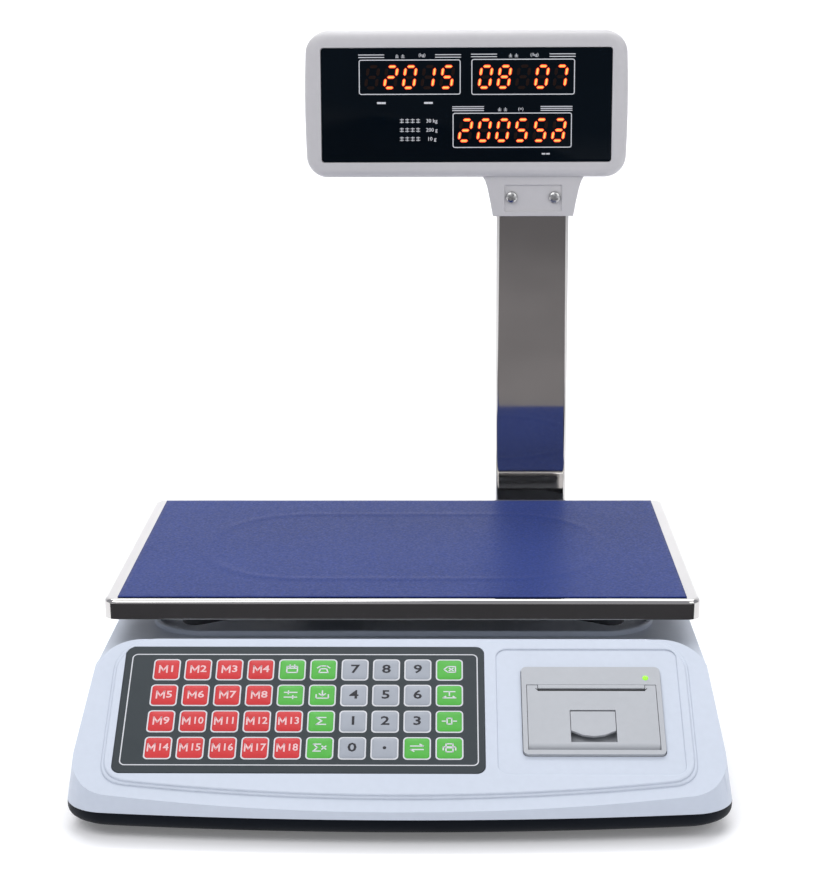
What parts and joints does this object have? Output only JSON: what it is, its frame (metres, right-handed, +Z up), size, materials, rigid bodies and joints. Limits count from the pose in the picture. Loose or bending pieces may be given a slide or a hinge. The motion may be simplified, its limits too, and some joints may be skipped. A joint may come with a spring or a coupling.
{
  "type": "label printing scale",
  "caption": "Retail counter scale with a stainless platter, a sloping membrane keypad, a built-in label printer under a hinged door, and a two-sided LED display on a rear pole.",
  "frame": {"origin": "centre of the overall box, on the surface the feet stand on", "axes": "+Z up, +X to the operator's right, +Y away from the operator towards the pole"},
  "size_m": [0.368, 0.427, 0.4205],
  "materials": {
    "casing_white": "fine-textured moulded ABS",
    "casing_navy": "satin moulded ABS",
    "housing_grey": "fine-textured moulded ABS",
    "black_plastic": "satin",
    "keypad_grey": "embossed printed polyester",
    "stainless": "polished stainless steel",
    "zinc_steel": "zinc plated",
    "aluminium": "milled",
    "cast_black": "black powder coat on a casting",
    "blue_film": "protective polyethylene film",
    "rubber": "matte",
    "paper": "uncoated label paper",
    "cardboard": "wound card",
    "circuit_board": "solder mask",
    "window_dark": "smoked acrylic",
    "led_module": "moulded, with red-orange segments",
    "led_green": "tinted lens",
    "gear_nylon": "natural acetal",
    "level_fluid": "tinted fluid under a clear cap"
  },
  "bodies": {
    "base": {"top_cover": "casing_white", "base_shell": "casing_navy", "battery_cover": "casing_navy", "chassis_plate": "zinc_steel", "battery": "black_plastic", "power_board": "circuit_board", "main_board": "circuit_board", "power_inlet": "black_plastic", "switch_housing": "black_plastic", "level_cup": "black_plastic", "level_vial": "level_fluid", "load_cell_foot": "aluminium", "load_cell": "aluminium", "keypad_overlay": "keypad_grey", "keypad_circuit": "black_plastic", "printer_frame": "housing_grey", "print_head": "aluminium", "tear_bar": "zinc_steel", "feed_motor": "zinc_steel", "status_led": "led_green", "pole": "stainless", "pole_bracket": "zinc_steel", "pole_screw_left": "zinc_steel", "pole_screw_right": "zinc_steel", "head_front_housing": "housing_grey", "head_rear_housing": "housing_grey", "front_window": "window_dark", "rear_window": "window_dark", "display_board": "circuit_board", "neck_screw_left": "zinc_steel", "neck_screw_right": "zinc_steel", "display_cable": "black_plastic", "weight_digits_front": "led_module", "weight_digits_rear": "led_module", "price_digits_front": "led_module", "price_digits_rear": "led_module", "total_digits_front": "led_module", "total_digits_rear": "led_module"},
    "carrier": {"load_cell_cap": "aluminium", "pan_carrier": "cast_black", "carrier_pad_1": "rubber", "carrier_pad_2": "rubber", "carrier_pad_3": "rubber", "carrier_pad_4": "rubber"},
    "platter": {"platter": "stainless", "platter_film": "blue_film"},
    "printer_door": {"printer_door": "housing_grey"},
    "latch": {"door_latch": "housing_grey"},
    "platen": {"platen_shaft": "zinc_steel", "platen_rubber": "rubber", "platen_gear": "gear_nylon"},
    "idler": {"idler_gear": "gear_nylon"},
    "pinion": {"motor_pinion": "gear_nylon"},
    "roll": {"paper_roll": "paper", "paper_core": "cardboard"},
    "rocker": {"power_rocker": "black_plastic"},
    "foot_front_left": {"levelling_foot_1": "rubber"},
    "foot_front_right": {"levelling_foot_2": "rubber"},
    "foot_rear_left": {"levelling_foot_3": "rubber"},
    "foot_rear_right": {"levelling_foot_4": "rubber"}
  },
  "joints": [
    {"name": "load_cell_flex", "type": "slide", "parent": "base", "child": "carrier", "axis": [0, 0, 1], "range_m": [-0.0004, 0], "stiffness_N_per_m": 60000, "springref_m": 0.0005},
    {"name": "platter_lift", "type": "slide", "parent": "carrier", "child": "platter", "axis": [0, 0, 1], "range_m": [0, 0.06]},
    {"name": "door_hinge", "type": "hinge", "parent": "base", "child": "printer_door", "pos_m": [0.1079, -0.17531, 0.04248], "axis": [1, 0, 0], "range_deg": [0, 88]},
    {"name": "latch_hinge", "type": "hinge", "parent": "printer_door", "child": "latch", "pos_m": [0.1079, -0.15925, 0.05505], "axis": [-1, 0, 0], "range_deg": [0, 22], "stiffness_Nm_per_rad": 0.004, "springref_deg": -17.19},
    {"name": "platen_spin", "type": "hinge", "parent": "printer_door", "child": "platen", "pos_m": [0.1079, -0.14598, 0.05636], "axis": [1, 0, 0], "continuous": true},
    {"name": "idler_spin", "type": "hinge", "parent": "base", "child": "idler", "pos_m": [0.142, -0.13862, 0.04475], "axis": [1, 0, 0], "continuous": true},
    {"name": "pinion_spin", "type": "hinge", "parent": "base", "child": "pinion", "pos_m": [0.142, -0.12675, 0.04736], "axis": [1, 0, 0], "continuous": true},
    {"name": "roll_spin", "type": "hinge", "parent": "base", "child": "roll", "pos_m": [0.1079, -0.14896, 0.0313], "axis": [1, 0, 0], "continuous": true},
    {"name": "power_rocker_tilt", "type": "hinge", "parent": "base", "child": "rocker", "pos_m": [-0.06, 0.1737, 0.0421], "axis": [1, 0, 0], "range_deg": [0, 22]},
    {"name": "foot_front_left_adjust", "type": "slide", "parent": "base", "child": "foot_front_left", "axis": [0, 0, 1], "range_m": [-0.006, 0]},
    {"name": "foot_front_right_adjust", "type": "slide", "parent": "base", "child": "foot_front_right", "axis": [0, 0, 1], "range_m": [-0.006, 0]},
    {"name": "foot_rear_left_adjust", "type": "slide", "parent": "base", "child": "foot_rear_left", "axis": [0, 0, 1], "range_m": [-0.006, 0]},
    {"name": "foot_rear_right_adjust", "type": "slide", "parent": "base", "child": "foot_rear_right", "axis": [0, 0, 1], "range_m": [-0.006, 0]}
  ],
  "couplings": [
    {"joint": "idler_spin", "follows": "platen_spin", "ratio": -0.7},
    {"joint": "pinion_spin", "follows": "platen_spin", "ratio": 1.4}
  ]
}
